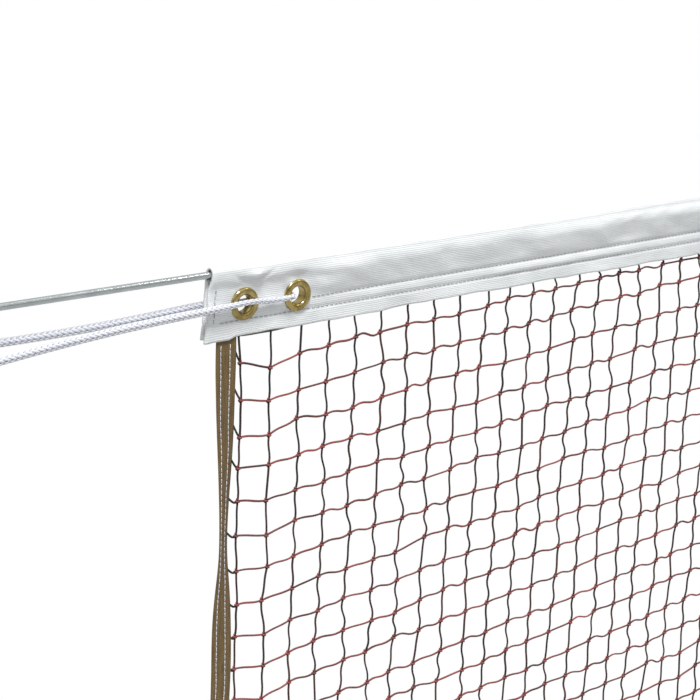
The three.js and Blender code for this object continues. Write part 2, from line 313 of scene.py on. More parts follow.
def frames(line):
    """Two directions square to a line at each point, carried along it without twisting."""
    tangent = unit(np.gradient(line, axis=0))
    first = np.zeros_like(line)
    first[0] = unit(np.cross(tangent[0], (0.3, 0.9, 0.2)))
    for i in range(1, len(line)):
        first[i] = first[i - 1] - tangent[i] * (first[i - 1] @ tangent[i])
        first[i] /= np.linalg.norm(first[i])
    return first, np.cross(tangent, first)


def placed(piece, body, node):
    """A piece rides on one body and takes the place of a node."""
    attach(piece, body)
    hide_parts(node)
    return piece


def hung(piece, node):
    """A piece keeps its place as built and takes the place of a node."""
    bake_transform(piece)
    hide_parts(node)
    return piece


# ---- Materials ------------------------------------------------------------------------
class Nodes:
    """A node tree and short ways to add nodes to it."""

    def __init__(self, tree):
        self.tree = tree

    def link(self, socket, node, key):
        self.tree.links.new(socket, node.inputs[key])

    def node(self, kind, inputs=None, **settings):
        made = self.tree.nodes.new(kind)
        for key, value in settings.items():
            setattr(made, key, value)
        for key, value in (inputs or {}).items():
            if isinstance(value, bpy.types.NodeSocket):
                self.link(value, made, key)
            else:
                made.inputs[key].default_value = value
        return made

    def ramp(self, value, stops):
        """A colour for each value between the stops, which are (value, colour)."""
        made = self.node("ShaderNodeValToRGB", {"Fac": value})
        elements = made.color_ramp.elements
        for element, (at, colour) in zip(elements, stops):
            element.position, element.color = at, (*colour, 1)
        for at, colour in stops[2:]:
            elements.new(at).color = (*colour, 1)
        return made.outputs["Color"]

    def show(self, shader, seen, output):
        """One shader lights and reflects, and the camera sees the other."""
        camera_ray = self.node("ShaderNodeLightPath").outputs["Is Camera Ray"]
        shaders = {0: camera_ray, 1: shader.outputs[0], 2: seen.outputs[0]}
        choose = self.node("ShaderNodeMixShader", shaders)
        self.link(choose.outputs[0], self.tree.nodes[output], "Surface")


class Surface(Nodes):
    """A Principled material."""

    def __init__(self, name, **inputs):
        self.material = bpy.data.materials.new(name)
        self.material.use_nodes = True
        super().__init__(self.material.node_tree)
        self.shader = self.tree.nodes["Principled BSDF"]
        for key, value in inputs.items():
            self.shader.inputs[key.replace("_", " ")].default_value = value

    def set(self, key, socket):
        self.link(socket, self.shader, key)

    def number(self, name):
        """The value of one of the mesh's own attributes."""
        return self.node("ShaderNodeAttribute", attribute_name=name).outputs["Fac"]

    def place(self):
        return self.node("ShaderNodeTexCoord").outputs["Object"]

    def along_x(self):
        return self.node("ShaderNodeSeparateXYZ", {0: self.place()}).outputs["X"]

    def math(self, operation, a, b=0.0, c=0.0):
        return self.node("ShaderNodeMath", {0: a, 1: b, 2: c}, operation=operation).outputs[0]

    def ribs(self, distance, pitch):
        """A wave from 0 to 1 across ribs of that pitch."""
        wave = self.math("SINE", self.math("MULTIPLY", distance, TAU / pitch))
        return self.math("MULTIPLY_ADD", wave, 0.5, 0.5)

    def noise(self, scale, detail=3.0, stretch=None):
        """Noise from 0 to 1. stretch scales the pattern along each axis."""
        place = self.place()
        if stretch:
            place = self.node("ShaderNodeMapping", {"Vector": place, "Scale": stretch}).outputs[0]
        inputs = {"Vector": place, "Scale": scale, "Detail": detail}
        return self.node("ShaderNodeTexNoise", inputs).outputs["Fac"]

    def blend(self, share, colour, other):
        """A share of another colour laid over a colour socket."""
        made = self.node("ShaderNodeMix", {"Factor": share}, data_type="RGBA")
        self.link(colour, made, 6)
        made.inputs[7].default_value = (*other, 1)
        return made.outputs[2]

    def span(self, value, low, high):
        """A value from 0 to 1 mapped to the range from low to high."""
        inputs = {"Value": value, "To Min": low, "To Max": high}
        return self.node("ShaderNodeMapRange", inputs).outputs["Result"]

    def bump(self, height, distance, strength=1.0):
        inputs = {"Height": height, "Distance": distance, "Strength": strength}
        self.set("Normal", self.node("ShaderNodeBump", inputs).outputs["Normal"])


RIB_PITCH = 0.00105
WEFT_PITCH = 0.0007
CRISP_REACH = 0.45  # the ribs are flattest this far from each end
CRISP_BLEND = 0.3


def white_tape():
    """Ribbed tape: ribs along its length, and a finer weft across them."""
    s = Surface("white_ribbed_tape", Roughness=0.75, Sheen_Weight=0.1)
    uneven = s.math("MULTIPLY_ADD", s.noise(30), 0.0022, s.number("across"))
    # The ribs are crisp near the ends and flatter towards mid-span.
    far = s.math("ABSOLUTE", s.along_x())
    near_end = s.math("MULTIPLY_ADD", far, 1 / CRISP_BLEND, (CRISP_REACH - HALF) / CRISP_BLEND)
    crisp = s.span(near_end, 0.3, 1.0)
    ribs = s.math("MULTIPLY", s.ribs(uneven, RIB_PITCH), crisp)
    weft = s.math("MULTIPLY", s.ribs(s.along_x(), WEFT_PITCH), crisp)
    mottle = s.noise(220, stretch=(0.35, 1, 1))
    crumple = s.noise(70, detail=4.0, stretch=(0.6, 1, 1))
    height = s.math("MULTIPLY_ADD", ribs, 0.75, s.math("MULTIPLY", weft, 0.25))
    height = s.math("MULTIPLY_ADD", mottle, 0.5, height)
    height = s.math("MULTIPLY_ADD", crumple, 10.0, height)
    # The tone is partly painted shade, darker in the ribs' grooves as the bump's ribs run, and
    # partly random.
    tone = s.math("MULTIPLY_ADD", ribs, 0.32, s.math("MULTIPLY", s.noise(38), 0.68))
    ribbed_colour = s.ramp(tone, [(0.15, (0.70, 0.725, 0.73)), (0.75, (0.88, 0.895, 0.90))])
    # Painted shade: a mesh attribute darkens the tape to grey green inside the sleeve's mouths and
    # on the back layer's lower edge.
    s.set("Base Color", s.blend(s.number("painted_shade"), ribbed_colour, (0.16, 0.165, 0.13)))
    s.bump(height, 0.0001)
    return s.material


def brown_tape():
    """Olive brown twill tape with darker and paler threads."""
    s = Surface("olive_brown_tape", Roughness=0.9, Sheen_Weight=0.03)
    warp = s.ribs(s.number("across"), 0.0008)
    weft = s.ribs(s.number("lengthwise"), 0.0009)
    threads = s.noise(900, stretch=(1, 1, 0.12))
    height = s.math("MULTIPLY_ADD", warp, 0.6, s.math("MULTIPLY", weft, 0.4))
    # The tone is partly random thread colour and partly painted shade, darker where the weave lies
    # low.
    tone = s.math("MULTIPLY_ADD", threads, 0.7, s.math("MULTIPLY", height, 0.3))
    stops = [(0.25, (0.095, 0.058, 0.021)), (0.75, (0.23, 0.155, 0.06)), (0.5, (0.16, 0.102, 0.038))]
    s.set("Base Color", s.ramp(tone, stops))
    s.bump(height, 0.00012)
    return s.material


def twine():
    """Dark tarred twine, red brown on the rows and at the knots and near black on the columns."""
    s = Surface("netting_twine", Roughness=0.75)
    fray = s.noise(1500)
    patches = s.noise(70)
    warmth = s.math("MULTIPLY_ADD", s.math("SUBTRACT", patches, 0.5), 0.9, s.number("warmth"))
    stops = [(0.1, (0.022, 0.017, 0.017)), (1.0, (0.27, 0.062, 0.056)), (0.5, (0.08, 0.028, 0.026))]
    s.set("Base Color", s.ramp(warmth, stops))
    s.bump(fray, 0.0002, 0.7)
    return s.material


def rope_fibre():
    """White braided polyester. Its colour holds painted shade: it is darker and bluer where the
    braid's surface lies low, in the hollows between strands.
    """
    s = Surface("white_rope", Roughness=0.55, Sheen_Weight=0.2)
    fibres = s.noise(1400, stretch=(0.35, 1, 1))
    height = s.number("height")
    stops = [(0.15, (0.34, 0.35, 0.41)), (0.8, (0.70, 0.71, 0.76))]
    s.set("Base Color", s.ramp(s.math("MULTIPLY_ADD", fibres, 0.25, height), stops))
    s.bump(fibres, 0.0001)
    return s.material


def stitching():
    """Pale polyester thread with a twist that shows as fine bumps. On the headband it is painted
    grey, as painted shade in the stitches' grooves."""
    s = Surface("stitching_thread", Roughness=0.6, Sheen_Weight=0.1)
    grain = s.noise(2500)
    pale = s.ramp(grain, [(0.3, (0.62, 0.60, 0.65)), (0.7, (0.82, 0.80, 0.84))])
    # Painted shade: a mesh attribute greys the thread on the headband.
    s.set("Base Color", s.blend(s.number("groove_shade"), pale, (0.30, 0.31, 0.30)))
    s.bump(grain, 0.00008)
    return s.material


def brass():
    """Pressed brass, tarnished in random patches, with fine scratches."""
    s = Surface("brass", Metallic=1.0)
    tarnish = s.noise(260, detail=5.0)
    scratches = s.noise(1300, stretch=(1, 1, 0.1))
    stops = [(0.3, (0.30, 0.21, 0.06)), (0.65, (0.60, 0.47, 0.19))]
    s.set("Base Color", s.ramp(tarnish, stops))
    s.set("Roughness", s.span(scratches, 0.1, 0.24))
    s.bump(scratches, 0.00003)
    return s.material


def steel():
    """Galvanised steel fittings: mottled zinc with fine scratches."""
    s = Surface("galvanised_steel", Metallic=0.9)
    zinc = s.noise(330, detail=5.0)
    s.set("Base Color", s.ramp(zinc, [(0.3, (0.36, 0.37, 0.38)), (0.7, (0.58, 0.60, 0.61))]))
    s.set("Roughness", s.span(zinc, 0.28, 0.45))
    s.bump(s.noise(1800), 0.00003)
    return s.material


def cable_coat():
    """A clear-coated steel cable, with its strands just showing through."""
    s = Surface("coated_cable", Metallic=0.9, Coat_Weight=0.5, Coat_Roughness=0.08)
    strands = s.ribs(s.number("lay"), 1.0)
    cloud = s.noise(120)
    tone = s.math("MULTIPLY_ADD", strands, 0.08, s.math("MULTIPLY", cloud, 0.92))
    s.set("Base Color", s.ramp(tone, [(0.2, (0.46, 0.50, 0.50)), (0.75, (0.60, 0.63, 0.63))]))
    s.set("Roughness", s.span(cloud, 0.14, 0.22))
    s.bump(strands, 0.000012)
    return s.material


WHITE_TAPE, BROWN_TAPE, TWINE = white_tape(), brown_tape(), twine()
ROPE, THREAD, BRASS = rope_fibre(), stitching(), brass()
STEEL, CABLE = steel(), cable_coat()


# ---- Cords: the tie rope --------------------------------------------------------------
# One rope is doubled through the inner grommet. Each strand lies on the band, rides over
# both rims and then runs free. on_band lists its (inward, off the middle plane, z) places.
STRANDS = {
    "front": {
        "facing": -1,
        "on_band": [
            (0.0460, 0.0047, -0.0180), (0.0415, 0.0040, -0.0182), (0.0355, 0.0035, -0.0182),
            (0.0300, 0.0040, -0.0177), (0.0235, 0.0047, -0.0169), (0.0165, 0.0047, -0.0169),
            (0.0090, 0.0045, -0.0174), (0.0000, 0.0043, -0.0179),
        ],
        "end_y": -0.008,
        "end_z": -0.0247,
        "bow": 0.0011,
    },
    "back": {
        "facing": 1,
        "on_band": [
            (0.0460, 0.0047, -0.0181), (0.0360, 0.0044, -0.0184), (0.0240, 0.00515, -0.0189),
            (0.0150, 0.0052, -0.0193), (0.0070, 0.0048, -0.0185), (0.0000, 0.0045, -0.0171),
        ],
        "end_y": 0.005,
        "end_z": -0.0195,
        "bow": -0.0013,
    },
}
ROPE_TURN_REACH = 0.0042
ROPE_FREE = [-0.02, -0.04, -0.06, -0.08, -0.1, -0.116, ROPE_END]
BRAID_STRANDS = 6  # in each direction
BRAID_LEAD = 0.019  # along the rope for one turn of a strand
BRAID_RADIUS = 0.00145
BRAID_LIFT = 0.0003  # a strand rises this much over others, and dips as much under them
STRAND_HALF_WIDTH = 0.00070
STRAND_HALF_THICKNESS = 0.0005
CORE_RADIUS = 0.0013
BRAID_STEP = 0.0006
PULLED_THIN = 0.7  # the rope's size where it is pulled tight over the band


def strand_line(side, facing, on_band, end_y, end_z, bow):
    """A rope strand's own line, from the inner grommet out to its knot. bow is how far its
    free part curves up from a straight line."""
    points = [(along(side, inward), facing * off, z) for inward, off, z in on_band]
    _, y, z = points[-1]
    for inward in ROPE_FREE:
        t = inward / ROPE_END
        free_z = mix(z, end_z, t) + bow * math.sin(math.pi * t)
        points.append((along(side, inward), mix(y, end_y, t * t), free_z))
    return smooth_line(points, BRAID_STEP)


def braid(line, size=1.0):
    """A twelve-strand braid round a line and its core, as (points, quads, height). Strands
    lie over two and under two, so that they show as rows of chevrons. size scales the
    section, and is one number or one for each point."""
    first, second = frames(line)
    far = distance_along(line)
    sides = 8
    size = np.broadcast_to(size, len(line))
    core = CORE_RADIUS * size
    core_points = ring_points(line, first, second, core, core, sides)
    parts = [(core_points.reshape(-1, 3), tube_quads(len(line), sides))]
    heights = [np.zeros(len(line) * sides)]
    for way in (1, -1):
        for k in range(BRAID_STRANDS):
            angle = way * TAU * far / BRAID_LEAD + TAU * k / BRAID_STRANDS
            wave = way * np.cos(BRAID_STRANDS / 2 * angle)
            outward = np.cos(angle)[:, None] * first + np.sin(angle)[:, None] * second
            centres = line + (size * (BRAID_RADIUS + BRAID_LIFT * wave))[:, None] * outward
            across = unit(np.cross(unit(np.gradient(centres, axis=0)), outward))
            width = STRAND_HALF_WIDTH * size
            thickness = STRAND_HALF_THICKNESS * size
            points = ring_points(centres, across, outward, width, thickness, sides)
            parts.append((points.reshape(-1, 3), tube_quads(len(line), sides)))
            crown = np.sin(TAU * np.arange(sides) / sides)
            # How high each point lies in the braid; the rope's colour turns this into painted shade
            # in the hollows.
            heights.append((0.35 + 0.3 * wave[:, None] + 0.25 * crown).ravel())
    return *joined(parts), np.concatenate(heights)


def rope_piece(name, line):
    inward = inward_of(line[:, 0])
    points, quads, height = braid(line, mix(PULLED_THIN, 1, smoothstep(0.022, -0.022, inward)))
    piece = mesh_object(name, points, quads, ROPE, {"height": height})
    return piece


def knot_and_tail(node, side, centre):
    """A barrel knot: two turns round the rope's own line, with its tail beyond them."""
    steps = 90
    t = np.linspace(0, 1, steps)
    angle = TAU * 2.4 * t
    rise = np.minimum(smoothstep(0, 0.1, t), 1 - smoothstep(0.9, 1, t))
    radius = mix(0.0012, 2 * ROPE_RADIUS - 0.0004, rise)
    outward = mix(0.0023, KNOT_LENGTH - 0.0023, t)
    coil = np.stack([side * outward, radius * np.cos(angle), radius * np.sin(angle)], 1)
    tail_end = KNOT_LENGTH + ROPE_TAIL
    droop = [(0, 0), (0.5, 0), (0.75, -0.0006), (1, -0.002)]
    tail = smooth_line([(side * tail_end * a, 0, z) for a, z in droop], BRAID_STEP)
    parts, heights = [], []
    for line in (evenly(coil, BRAID_STEP), tail):
        points, quads, height = braid(line + centre)
        parts.append((points, quads))
        heights.append(height)
    values = {"height": np.concatenate(heights)}
    piece = mesh_object(f"{node}_braid", *joined(parts), ROPE, values)
    return placed(piece, "post_lines", node)


def rope_turn_line(side):
    """From the front strand's start to the back one's, round the inner grommet's rim."""
    starts = [STRANDS[strand]["on_band"][0] for strand in ("front", "back")]
    (inward, off, front_z), (_, _, back_z) = starts
    angle = np.linspace(-math.pi / 2, math.pi / 2, 60)
    x = along(side, inward + ROPE_TURN_REACH * np.cos(angle))
    z = np.linspace(front_z, back_z, len(angle))
    return evenly(np.stack([x, off * np.sin(angle), z], 1), BRAID_STEP)


def tie_rope(name, side):
    turn = rope_turn_line(side)
    piece = rope_piece(f"{name}_rope_turn_braid", turn)
    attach(piece, "headband")
    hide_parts(f"{name}_rope_turn")
    for strand, spec in STRANDS.items():
        line = strand_line(side, **spec)
        piece = rope_piece(f"{name}_rope_{strand}_braid", line)
        end = np.array([along(side, ROPE_END), spec["end_y"], spec["end_z"]])
        knot = knot_and_tail(f"{name}_{strand}_knot", side, end)
        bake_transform(piece)
        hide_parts(f"{name}_rope_{strand}")


# ---- Cords: the steel cable -----------------------------------------------------------
CABLE_LAY = 0.02  # along the cable for one turn of its strands
CABLE_STRANDS = 6
CABLE_OVERLAP = 0.01  # the end pieces start this far inside the sleeve


def cable_end_line(side):
    """From just inside the sleeve, out to the ferrule, round the eye and back into it."""
    mouth = FERRULE_START - FERRULE_LENGTH
    reach = mouth - EYE_CENTRE
    away = math.hypot(reach, CABLE_PITCH / 2)
    touch = math.acos(EYE_RADIUS / away) + math.atan2(CABLE_PITCH / 2, reach)
    angle = np.linspace(touch, TAU - touch, 60)
    eye = zip(EYE_CENTRE + EYE_RADIUS * np.cos(angle), EYE_Z + EYE_RADIUS * np.sin(angle))
    tail_z = CABLE_Z - CABLE_PITCH
    tail = [(mouth, tail_z), (FERRULE_START - 0.001, tail_z)]
    line = [(CABLE_OVERLAP, CABLE_Z), (mouth, CABLE_Z), *eye, *tail]
    return evenly(np.array([(along(side, inward), 0, z) for inward, z in line]), 0.001)


def cable_piece(name, line, sides=16):
    """A cable whose strands show as a slight swell in its coat."""
    across, outward = frames(line)
    far = distance_along(line)
    radius = np.full(len(line), CABLE_RADIUS)
    points = ring_points(line, across, outward, radius, radius, sides)
    angle = TAU * np.arange(sides) / sides
    lay = np.cos(CABLE_STRANDS * (angle[None, :] - TAU * far[:, None] / CABLE_LAY)) / 4
    quads = tube_quads(len(line), sides)
    piece = mesh_object(name, points, quads, CABLE, {"lay": lay.ravel()})
    return placed(piece, "post_lines", "steel_cable")


def ferrule(name, side):
    """A pressed sleeve round both lines of the cable, with three crimps."""
    length = np.linspace(0, 1, 49)
    crimps = sum(hill(length, at, 0.07) for at in (0.22, 0.5, 0.78))
    ends = 1 - np.sqrt(np.clip(1 - (np.maximum(abs(length - 0.5) - 0.44, 0) / 0.06) ** 2, 0, 1))
    radius = FERRULE_RADIUS - 0.00038 * crimps - 0.0009 * ends
    half_steps = 14
    upper = np.linspace(0, math.pi, half_steps)
    angle = np.concatenate([upper, upper + math.pi])
    lobe_z = np.concatenate([np.zeros(half_steps), np.full(half_steps, -CABLE_PITCH)])
    y = radius[:, None] * np.cos(angle)
    z = CABLE_Z + lobe_z + radius[:, None] * np.sin(angle)
    x = along(side, FERRULE_START - FERRULE_LENGTH * length)[:, None] + 0 * y
    quads = tube_quads(len(length), len(angle))
    piece = mesh_object(f"{name}_ferrule_sleeve", np.stack([x, y, z], -1), quads, STEEL)
    return placed(piece, "post_lines", f"{name}_ferrule")


def thimble(name, side, line):
    """A channel of pressed steel that lines the eye, open on its outer side."""
    mouth = FERRULE_START - FERRULE_LENGTH
    line = line[(line[:, 0] * side > along(1, mouth - 0.0035))]
    tangent = unit(np.gradient(line, axis=0))
    away = np.cross(tangent, (0, 1, 0))
    centre = np.array([along(side, EYE_CENTRE), 0, EYE_Z])
    away *= np.sign(((line - centre) * away).sum(1).mean())
    arc = np.radians(np.linspace(-105, 105, 15))
    inner = [(CABLE_RADIUS + 0.0002, a) for a in arc]
    lips = [(CABLE_RADIUS + 0.0012, a) for a in arc[::-1]]
    section = np.array([(r * math.sin(a), -r * math.cos(a)) for r, a in inner + lips])
    across = np.broadcast_to((0.0, 1.0, 0.0), line.shape)
    points = (
        line[:, None]
        + section[None, :, :1] * across[:, None]
        + section[None, :, 1:] * away[:, None]
    )
    quads = tube_quads(len(line), len(section))
    piece = mesh_object(f"{name}_thimble_channel", points, quads, STEEL)
    return placed(piece, "post_lines", f"{name}_thimble")


def cable():
    reach = HALF - CABLE_OVERLAP
    hidden = np.linspace((-reach, 0, CABLE_Z), (reach, 0, CABLE_Z), 120)
    cable_piece("cable_in_sleeve", hidden, sides=12)
    for name, side in SIDES.items():
        line = cable_end_line(side)
        cable_piece(f"{name}_cable_end", line)
        ferrule(name, side)
        thimble(name, side, line)


cable()
for end_name, end_side in SIDES.items():
    tie_rope(end_name, end_side)


# ---- Headband -------------------------------------------------------------------------
CLOTH = 0.00095  # the tape's thickness
HEM = 0.0032  # the tape's ends are turned under by this much
HEM_EXTRA = 0.0006  # and are this much thicker there
SLEEVE_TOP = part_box("headband")[1].z
SLEEVE_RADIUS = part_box("headband")[1].y
SLEEVE_Z = SLEEVE_TOP - SLEEVE_RADIUS
DRAPED = 0.0029  # half the sleeve's width at the cable's height
BAND_HALF_THICKNESS = 0.0016
BAND_ROWS = {"upper": -0.0203, "lower": -0.0266}
UPPER_ROW_START = 0.0625
FRONT_SLANT = (0.0018, 0.0053)  # how far the front layer's top and bottom stand outside
BACK_SLANT = (0.0020, 0.0060)
END_BLEND = 0.06  # the ends' slant fades over this length
GROMMET_RIM = 0.0085
GROMMET_BARREL = 0.00525
RIM_THICKNESS = 0.0013


def cloth_at(x):
    """The tape's thickness, with its turned-under hem."""
    return CLOTH + HEM_EXTRA * (1 - smoothstep(HEM - 0.0006, HEM + 0.0006, inward_of(x)))


def swells(inward, near, apart):
    """From 0 to 1: one at a distance from each end, and again and again after it."""
    return smoothstep(-0.2, 0.8, np.cos(TAU * (inward - near) / apart))


def panel_depth(inward, z):
    """How far the tape stands out between the cable and the upper row. It stands out most at
    a crest under the cable, and curves in below it. It is soon flat near the grommets."""
    full = smoothstep(0.045, 0.09, inward)
    crest_drop = mix(0.0030, 0.0055, full)
    crest = mix(0.0032, 0.0040, full) + 0.0006 * swells(inward, 0.38, 0.5) * full
    crest = mix(0.0027, crest, smoothstep(0.002, 0.022, inward))
    draped = np.minimum(DRAPED, crest)
    below = SLEEVE_Z - z
    to_crest = np.clip(below / crest_drop, 0, 1)
    to_row = np.clip((below - crest_drop) / (SLEEVE_Z - BAND_ROWS["upper"] - crest_drop), 0, 1)
    to_flat = smoothstep(crest_drop, 0.0092, below)
    fall = mix(to_flat, to_row**1.2, full)
    stands = draped + (crest - draped) * (1 - (1 - to_crest) ** 2)
    return stands - (crest - BAND_HALF_THICKNESS) * fall


def pressed_by_grommets(inward, z):
    """How far the tape is drawn in around the rims, with small puckers."""
    total = 0
    for centre in GROMMETS.values():
        away = np.hypot(inward - centre, z - GROMMET_Z)
        spoke = np.arctan2(z - GROMMET_Z, inward - centre)
        pucker = 0.0003 - 0.00025 * np.cos(5 * spoke + 400 * centre)
        total = total + pucker * hill(away, GROMMET_RIM, 0.004)
    return total


def tucks(inward, z):
    """A tuck stands above the outer grommet, over a crease that curves up on both sides.
    There is a dip above the inner one, and the tape is crumpled further along."""
    stands = 0.0017 * hill(inward, 0.0262, 0.0034) * hill(z, -0.0030, 0.0020)
    crease_z = -0.0060 + 24.0 * (inward - 0.0245) ** 2
    crease = 0.0019 * hill(inward, 0.0250, 0.0080) * hill(z, crease_z, 0.0011)
    dip = 0.0008 * hill(inward, 0.0520, 0.007) * hill(z, -0.0066, 0.0018)
    crumple = 0.0006 * hill(inward, 0.32, 0.035) * hill(z, -0.002, 0.004)
    return stands - crease - dip + crumple * wander(inward - 2 * z, 0.021, 0.8)


def pressed_by_rope(inward, z):
    """How far the front layer is drawn in below the rope, between the two rims."""
    between = smoothstep(0.0265, 0.030, inward) * (1 - smoothstep(0.042, 0.0455, inward))
    return 0.0007 * between * hill(z, -0.0206, 0.0015)


def band_depth(x, z, facing):
    """How far the tape's outer face stands from the net's middle plane."""
    inward = inward_of(x)
    past_grommets = smoothstep(UPPER_ROW_START - 0.004, UPPER_ROW_START + 0.03, inward)
    depth = panel_depth(inward, z)
    between = (BAND_ROWS["upper"] - z) / (BAND_ROWS["upper"] - BAND_ROWS["lower"])
    ridge = np.sin(math.pi * np.clip(between, 0, 1) ** 1.6)
    height = 0.0002 + swells(inward, 0.25, 0.28) * (0.0005 + 0.0004 * wander(x, 0.024, facing))
    depth = depth + past_grommets * height * ridge
    depth = depth - 0.0005 * hill(z, BAND_ROWS["lower"], 0.0008)
    depth = depth - 0.0005 * past_grommets * hill(z, BAND_ROWS["upper"], 0.0009)
    panel = smoothstep(BAND_ROWS["upper"], -0.014, z) * (1 - smoothstep(-0.008, -0.001, z))
    depth = depth + 0.0009 * panel * wander(x - 0.6 * z, 0.16, 0.4 + 2 * facing)
    depth = depth + 0.0004 * panel * wander(x + 1.4 * z, 0.045, 2.0 + facing)
    hem_line = 1 - smoothstep(BAND_BOTTOM, BAND_ROWS["lower"], z)
    depth = depth + 0.0005 * hem_line * (0.4 + wander(x, 0.11, 3.0 + facing))
    depth = depth - pressed_by_grommets(inward, z) + tucks(inward, z)
    if facing < 0:
        depth = depth - pressed_by_rope(inward, z)
    depth = depth + 0.0003 * (1 - smoothstep(HEM - 0.0005, HEM + 0.0005, inward))
    return np.maximum(depth, CLOTH)


def band_end_shift(z, share):
    """How far the tape's end stands out. share is 0 on the front layer and 1 on the back."""
    top, bottom = (mix(f, b, share) for f, b in zip(FRONT_SLANT, BACK_SLANT))
    return mix(top, bottom, (SLEEVE_TOP - z) / (SLEEVE_TOP - BAND_BOTTOM))


def band_edge_rise(x, facing):
    """How far one layer's lower edge stands above its lowest place."""
    inward = inward_of(x)
    slow = 0.0012 + 0.0009 * wander(x, 0.27, 5.4)
    rise = slow * smoothstep(0.03, 0.10, inward) + 0.0004 * wander(x, 0.05, 5 + facing)
    if facing < 0:
        step = smoothstep(0.0125, 0.017, inward) * (1 - smoothstep(0.045, 0.09, inward))
        return rise + 0.0013 * step
    corner = 0.0017 * (1 - smoothstep(0.004, 0.022, inward))
    return rise + corner - 0.0003 * hill(inward, 0.035, 0.024)


def band_stations():
    """Places along X, close together near both ends."""
    finest = np.arange(0, 0.07, 0.0012)
    fine = np.arange(0.07, 0.13, 0.0025)
    further = np.arange(0.13, 0.46, 0.0045)
    middle = np.arange(0.46, HALF, 0.03)
    half = np.concatenate([finest, fine, further, middle])
    return np.concatenate([half - HALF, (HALF - half)[::-1]])


def band_grid():
    """The tape's middle surface: up the front, over the cable and down the back. Each row of
    points follows one line of the tape, and across says how far round the tape it lies."""
    x = band_stations()
    flat = np.linspace(BAND_BOTTOM, SLEEVE_Z, 40)
    arc = np.linspace(0, math.pi, 14)[1:-1]
    rows, across, far = [], [], 0.0
    for facing, heights in ((-1, flat), (0, arc), (1, flat[::-1])):
        for h in heights:
            if facing:
                y = facing * (band_depth(x, h, facing) - cloth_at(x) / 2)
                edge = 1 - smoothstep(BAND_BOTTOM, BAND_ROWS["lower"], h)
                z = h + edge * band_edge_rise(x, facing)
                share = (facing + 1) / 2
            else:
                share = h / math.pi
                side_y = mix(band_depth(x, SLEEVE_Z, -1), band_depth(x, SLEEVE_Z, 1), share)
                y = -(side_y - cloth_at(x) / 2) * math.cos(h)
                rise = 0.0003 * wander(x, 0.24, 2.2) * smoothstep(0.05, 0.2, inward_of(x))
                rise = rise + 0.0015 * swells(inward_of(x), 0.38, 0.5)
                z = SLEEVE_Z + (SLEEVE_RADIUS - cloth_at(x) / 2 + rise) * math.sin(h)
            fade = np.clip(1 - inward_of(x) / END_BLEND, 0, 1) ** 2
            shift = band_end_shift(z, share) * fade
            row = np.stack([x + np.sign(x) * shift, y, z], -1)
            if rows:
                far += float(np.median(np.linalg.norm(row - rows[-1], axis=1)))
            rows.append(row)
            across.append(far)
    return np.stack(rows), np.array(across)


def headband():
    grid, across = band_grid()
    middle = (grid[:-1, :-1] + grid[1:, :-1] + grid[:-1, 1:] + grid[1:, 1:]) / 4
    kept = np.ones(middle.shape[:2], bool)
    for centre in GROMMETS.values():
        away = np.hypot(inward_of(middle[..., 0]) - centre, middle[..., 2] - GROMMET_Z)
        kept &= away > GROMMET_BARREL + 0.0009
    points, quads, used = thick_grid(grid, cloth_at(band_stations()), kept)
    lines = np.broadcast_to(across[:, None], grid.shape[:2]).ravel()[used]
    # Painted shade: the sleeve's inner face is darkened near each mouth, where the opening lies in
    # shade.
    place = grid.reshape(-1, 3)[used]
    mouth_shade = 1 - smoothstep(0.002, 0.007, inward_of(place[:, 0]))
    mouth_shade = mouth_shade * smoothstep(-0.0046, -0.0032, place[:, 2])
    # Painted shade: the back layer's edge is darkened where it shows below the front one, in that
    # layer's shade.
    inward = inward_of(place[:, 0])
    shows = smoothstep(0.013, 0.017, inward) * (1 - smoothstep(0.05, 0.07, inward))
    edge_shade = shows * (place[:, 1] > 0) * (1 - smoothstep(0.0010, 0.0024, place[:, 2] - BAND_BOTTOM))
    values = {
        "across": np.tile(lines, 2),
        "painted_shade": np.concatenate([np.maximum(mouth_shade, edge_shade), edge_shade]),
    }
    piece = mesh_object("headband_tape", points, quads, WHITE_TAPE, values)
    return placed(piece, "headband", "headband"), across[-1]


# ---- Stitching ------------------------------------------------------------------------
STITCH = 0.0031
STITCH_GAP = 0.0005
THREAD_RADIUS = 0.00028
BAND_THREAD_SHADE = 0.65  # how much painted shade greys the headband's threads


def stitches(points, outward, gap=STITCH_GAP, radius=THREAD_RADIUS, ease=0.22):
    """A row of lockstitches over a line of needle holes on a cloth's face. Each comes up
    over the share of its length that ease gives."""
    start, end = points[:-1], points[1:]
    inset = gap / STITCH / 2
    t = np.array([inset, ease, 0.5, 1 - ease, 1 - inset])[None, :, None]
    lift = np.array([-0.6, 0.75, 0.95, 0.75, -0.6])[None, :, None] * radius
    centres = mix(start[:, None], end[:, None], t) + lift * np.asarray(outward, float)
    radii = np.array([0.55, 1, 1, 1, 0.55]) * radius
    return tubes(centres, radii[None], 6, outward)


def band_stitch_row(z, start, facing):
    x = np.arange(-HALF + start, HALF - start, STITCH)
    drift = 0.0002 * wander(x, 0.05, 4 * z + facing)
    y = facing * band_depth(x, z + drift, facing)
    return stitches(np.stack([x, y, z + drift], -1), (0, facing, 0))


def end_stitch_row(side, facing):
    """The row down the hem at one end of the headband, to the lower row."""
    z = np.arange(BAND_ROWS["lower"], -0.006, STITCH)[::-1]
    inward = HEM + 0.0004
    shift = band_end_shift(z, (facing + 1) / 2) * (1 - inward / END_BLEND) ** 2
    x = along(side, inward - shift)
    y = facing * band_depth(np.full_like(z, along(side, inward)), z, facing)
    return stitches(np.stack([x, y, z], -1), (0, facing, 0))


